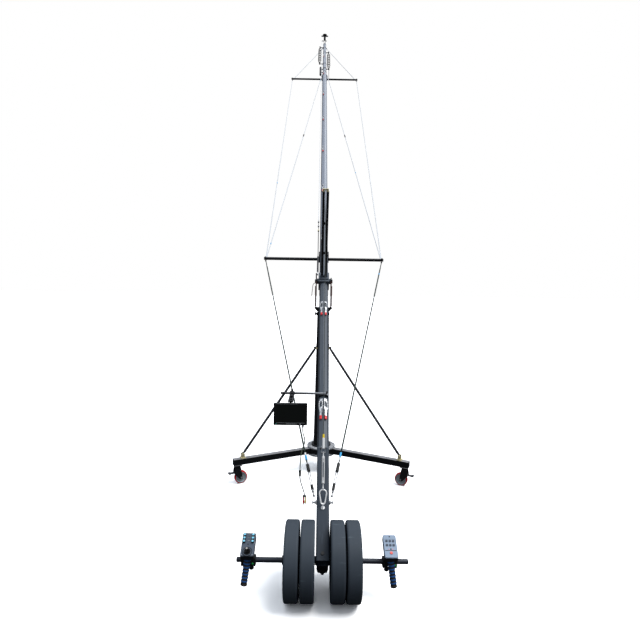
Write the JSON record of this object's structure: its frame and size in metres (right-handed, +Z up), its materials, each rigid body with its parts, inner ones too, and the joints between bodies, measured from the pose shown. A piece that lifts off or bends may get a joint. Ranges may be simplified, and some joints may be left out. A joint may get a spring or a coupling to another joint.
{
  "type": "camera jib crane",
  "caption": "Camera crane: a latched octagonal boom tilting on a braced rolling column, stayed by wires, with a weight bar and controls at the tail and a self-levelling head at the tip.",
  "frame": {"origin": "on the floor, on the axis of the column that the yoke pans about", "axes": "+Z up, +Y forwards along the boom from tail to tip, +X to the operator's right as seen from the tail"},
  "size_m": [1.559, 7.8896, 6.537],
  "materials": {
    "black_metal": "satin black powder coat",
    "hub_metal": "dark grey powder coat",
    "leg_metal": "satin black, light grey sheen on top",
    "column_metal": "satin black",
    "brace_metal": "satin dark grey",
    "cream_brass": "satin",
    "caster_steel": "black",
    "caster_rubber": "red bonded tread on a pale hub",
    "steel": "brushed",
    "anodised": "dark blue-grey anodised",
    "post_metal": "satin dark grey",
    "cable": "coated steel rope",
    "rubber_plate": "worn dark grey",
    "bar_steel": "blued",
    "box_dark": "satin slate",
    "box_light": "satin light blue-grey",
    "foam": "striped foam",
    "black_plastic": "matte",
    "knob_cap": "light blue caps on black skirts",
    "red_plastic": "gloss red",
    "lever": "bright, red sleeve on the handle",
    "monitor_plastic": "black",
    "lead_sheath": "grey-green sheath",
    "cord_sheath": "black sheath"
  },
  "bodies": {
    "stand": {"hub": "hub_metal", "column": "column_metal", "legs": "leg_metal", "braces": "brace_metal", "brace_clevises": "cream_brass"},
    "swivel_left": {"caster_fork_left": "caster_steel"},
    "wheel_left": {"caster_wheel_left": "caster_rubber"},
    "pedal_left": {"brake_pedal_left": "caster_steel"},
    "swivel_right": {"caster_fork_right": "caster_steel"},
    "wheel_right": {"caster_wheel_right": "caster_rubber"},
    "pedal_right": {"brake_pedal_right": "caster_steel"},
    "swivel_front": {"caster_fork_front": "caster_steel"},
    "wheel_front": {"caster_wheel_front": "caster_rubber"},
    "pedal_front": {"brake_pedal_front": "caster_steel"},
    "pan_head": {"yoke": "black_metal", "tilt_axle": "steel", "cable_tail": "cable"},
    "pan_lock_screw": {"pan_lock": "black_plastic"},
    "boom": {"tail_tube": "anodised", "boom_sections": "anodised", "tip_tube": "anodised", "pivot_block": "black_metal", "king_post": "post_metal", "crossbars": "black_metal", "stays": "cable", "stay_hardware": "steel", "carabiner": "steel", "tail_block": "black_metal", "weight_bar": "bar_steel", "weight_plates": "rubber_plate", "bar_clamps": "black_metal", "left_control_box": "box_dark", "right_control_box": "box_light", "hand_grips": "foam", "keypad": "black_plastic", "far_latches": "lever", "monitor_arm": "steel", "curly_cord_left": "cord_sheath", "curly_cord_right": "cord_sheath", "tip_connectors": "black_plastic"},
    "levelling": {"levelling_cable": "cable"},
    "head": {"head_mount": "black_metal"},
    "gate": {"carabiner_gate": "steel"},
    "tail_screw": {"star_knob": "black_plastic"},
    "stick_gimbal": {"joystick_gimbal": "black_plastic"},
    "stick": {"joystick": "black_plastic"},
    "dial_1": {"control_knob_1": "knob_cap"},
    "dial_2": {"control_knob_2": "knob_cap"},
    "dial_3": {"control_knob_3": "knob_cap"},
    "dial_4": {"control_knob_4": "knob_cap"},
    "dial_5": {"control_knob_5": "knob_cap"},
    "dial_6": {"control_knob_6": "knob_cap"},
    "record_key": {"record_button": "red_plastic"},
    "lever_rear_left": {"latch_rear_left": "lever"},
    "lever_rear_right": {"latch_rear_right": "lever"},
    "lever_mid_left": {"latch_mid_left": "lever"},
    "lever_mid_right": {"latch_mid_right": "lever"},
    "screen": {"monitor": "monitor_plastic", "picture_lead": "lead_sheath", "lead_plugs": "black_plastic"}
  },
  "joints": [
    {"name": "swivel_left", "type": "hinge", "parent": "stand", "child": "swivel_left", "pos_m": [-0.70016, -0.34149, 0.151], "axis": [0, 0, 1], "continuous": true},
    {"name": "roll_left", "type": "hinge", "parent": "swivel_left", "child": "wheel_left", "pos_m": [-0.67499, -0.32922, 0.054], "axis": [-0.4384, 0.8988, 0], "continuous": true},
    {"name": "brake_left", "type": "hinge", "parent": "swivel_left", "child": "pedal_left", "pos_m": [-0.71993, -0.35113, 0.096], "axis": [-0.4384, 0.8988, 0], "range_deg": [-15, 0]},
    {"name": "swivel_right", "type": "hinge", "parent": "stand", "child": "swivel_right", "pos_m": [0.70016, -0.34149, 0.151], "axis": [0, 0, 1], "continuous": true},
    {"name": "roll_right", "type": "hinge", "parent": "swivel_right", "child": "wheel_right", "pos_m": [0.67499, -0.32922, 0.054], "axis": [-0.4384, -0.8988, 0], "continuous": true},
    {"name": "brake_right", "type": "hinge", "parent": "swivel_right", "child": "pedal_right", "pos_m": [0.71993, -0.35113, 0.096], "axis": [-0.4384, -0.8988, 0], "range_deg": [-15, 0]},
    {"name": "swivel_front", "type": "hinge", "parent": "stand", "child": "swivel_front", "pos_m": [0, 0.779, 0.151], "axis": [0, 0, 1], "continuous": true},
    {"name": "roll_front", "type": "hinge", "parent": "swivel_front", "child": "wheel_front", "pos_m": [0, 0.751, 0.054], "axis": [1, 0, 0], "continuous": true},
    {"name": "brake_front", "type": "hinge", "parent": "swivel_front", "child": "pedal_front", "pos_m": [0, 0.801, 0.096], "axis": [1, 0, 0], "range_deg": [-15, 0]},
    {"name": "pan", "type": "hinge", "parent": "stand", "child": "pan_head", "pos_m": [0, 0, 1.425], "axis": [0, 0, 1], "continuous": true},
    {"name": "pan_lock_turn", "type": "hinge", "parent": "stand", "child": "pan_lock_screw", "pos_m": [-0.057, 0, 1.412], "axis": [-1, 0, 0], "range_deg": [0, 360]},
    {"name": "tilt", "type": "hinge", "parent": "pan_head", "child": "boom", "pos_m": [0, 0, 1.697], "axis": [1, 0, 0], "range_deg": [-50, 0]},
    {"name": "levelling_tilt", "type": "hinge", "parent": "pan_head", "child": "levelling", "pos_m": [-0.054, 0, 1.757], "axis": [1, 0, 0], "range_deg": [-50, 0]},
    {"name": "head_level", "type": "hinge", "parent": "boom", "child": "head", "pos_m": [0, 5.86386, 6.35696], "axis": [1, 0, 0], "range_deg": [0, 50]},
    {"name": "gate_spring", "type": "hinge", "parent": "boom", "child": "gate", "pos_m": [0.0139, -1.63822, 0.47836], "axis": [0, -0.8706, 0.492], "range_deg": [0, 20], "stiffness_Nm_per_rad": 0.05},
    {"name": "tail_screw_turn", "type": "hinge", "parent": "boom", "child": "tail_screw", "pos_m": [0, -1.78376, 0.16923], "axis": [0, 0.6222, -0.7829], "range_deg": [0, 360]},
    {"name": "stick_tilt", "type": "hinge", "parent": "boom", "child": "stick_gimbal", "pos_m": [-0.4, -1.83228, 0.27802], "axis": [1, 0, 0], "range_deg": [-20, 20], "stiffness_Nm_per_rad": 0.05},
    {"name": "stick_pan", "type": "hinge", "parent": "stick_gimbal", "child": "stick", "pos_m": [-0.4, -1.83228, 0.27802], "axis": [0, 0.891, 0.454], "range_deg": [-20, 20], "stiffness_Nm_per_rad": 0.05},
    {"name": "dial_1_turn", "type": "hinge", "parent": "boom", "child": "dial_1", "pos_m": [-0.423, -1.75169, 0.32581], "axis": [0, -0.454, 0.891], "range_deg": [-150, 150]},
    {"name": "dial_2_turn", "type": "hinge", "parent": "boom", "child": "dial_2", "pos_m": [-0.377, -1.75169, 0.32581], "axis": [0, -0.454, 0.891], "range_deg": [-150, 150]},
    {"name": "dial_3_turn", "type": "hinge", "parent": "boom", "child": "dial_3", "pos_m": [-0.423, -1.76907, 0.31696], "axis": [0, -0.454, 0.891], "range_deg": [-150, 150]},
    {"name": "dial_4_turn", "type": "hinge", "parent": "boom", "child": "dial_4", "pos_m": [-0.377, -1.76907, 0.31696], "axis": [0, -0.454, 0.891], "range_deg": [-150, 150]},
    {"name": "dial_5_turn", "type": "hinge", "parent": "boom", "child": "dial_5", "pos_m": [-0.423, -1.786, 0.30833], "axis": [0, -0.454, 0.891], "range_deg": [-150, 150]},
    {"name": "dial_6_turn", "type": "hinge", "parent": "boom", "child": "dial_6", "pos_m": [-0.377, -1.786, 0.30833], "axis": [0, -0.454, 0.891], "range_deg": [-150, 150]},
    {"name": "record_press", "type": "slide", "parent": "boom", "child": "record_key", "axis": [0, 0.454, -0.891], "range_m": [0, 0.002], "stiffness_N_per_m": 200},
    {"name": "latch_rear_left_lift", "type": "hinge", "parent": "boom", "child": "lever_rear_left", "pos_m": [-0.0167, -1.11722, 0.86066], "axis": [0.9239, -0.2381, 0.2996], "range_deg": [-100, 0]},
    {"name": "latch_rear_right_lift", "type": "hinge", "parent": "boom", "child": "lever_rear_right", "pos_m": [0.0167, -1.11722, 0.86066], "axis": [0.9239, 0.2381, -0.2996], "range_deg": [-100, 0]},
    {"name": "latch_mid_left_lift", "type": "hinge", "parent": "boom", "child": "lever_mid_left", "pos_m": [-0.0167, -0.33433, 1.48282], "axis": [0.9239, -0.2381, 0.2996], "range_deg": [-100, 0]},
    {"name": "latch_mid_right_lift", "type": "hinge", "parent": "boom", "child": "lever_mid_right", "pos_m": [0.0167, -0.33433, 1.48282], "axis": [0.9239, 0.2381, -0.2996], "range_deg": [-100, 0]},
    {"name": "monitor_tilt", "type": "hinge", "parent": "boom", "child": "screen", "pos_m": [-0.213, -1.20023, 0.93307], "axis": [1, 0, 0], "range_deg": [-15, 15]}
  ],
  "couplings": [
    {"joint": "levelling_tilt", "follows": "tilt", "ratio": 1},
    {"joint": "head_level", "follows": "tilt", "ratio": -1}
  ]
}
